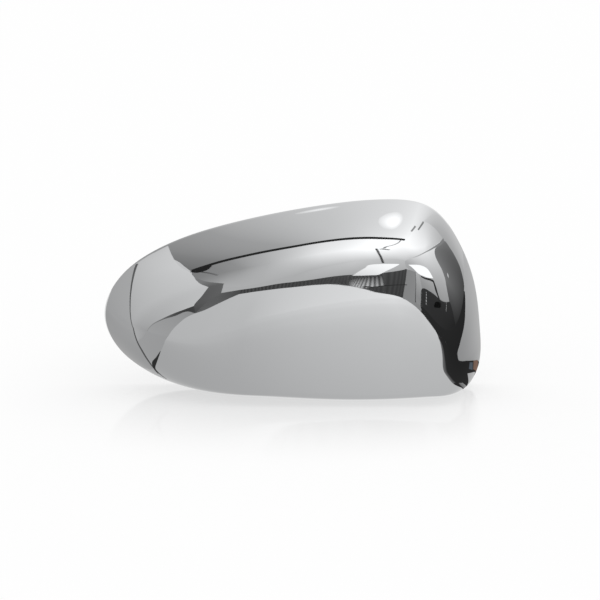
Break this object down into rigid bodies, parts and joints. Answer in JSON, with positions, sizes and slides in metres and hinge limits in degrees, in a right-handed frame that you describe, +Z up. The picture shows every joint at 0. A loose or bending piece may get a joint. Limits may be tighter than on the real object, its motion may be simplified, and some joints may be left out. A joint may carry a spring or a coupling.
{
  "type": "wing mirror cover",
  "caption": "Thin chrome-plated dome with an open back that clips over a car's wing mirror housing; snap hooks and catches are moulded inside its rim.",
  "frame": {"origin": "middle of the opening that the rim surrounds, in the rim's plane", "axes": "+X outboard, away from the car, -Y forward, towards the front of the dome, +Z up; the rim's plane is y = 0 and +Y points out of the open back, towards the mirror housing"},
  "size_m": [0.2261, 0.063, 0.1125],
  "materials": {
    "chrome_plate": "polished"
  },
  "bodies": {
    "root": {"mirror_cover": "chrome_plate"}
  },
  "joints": []
}
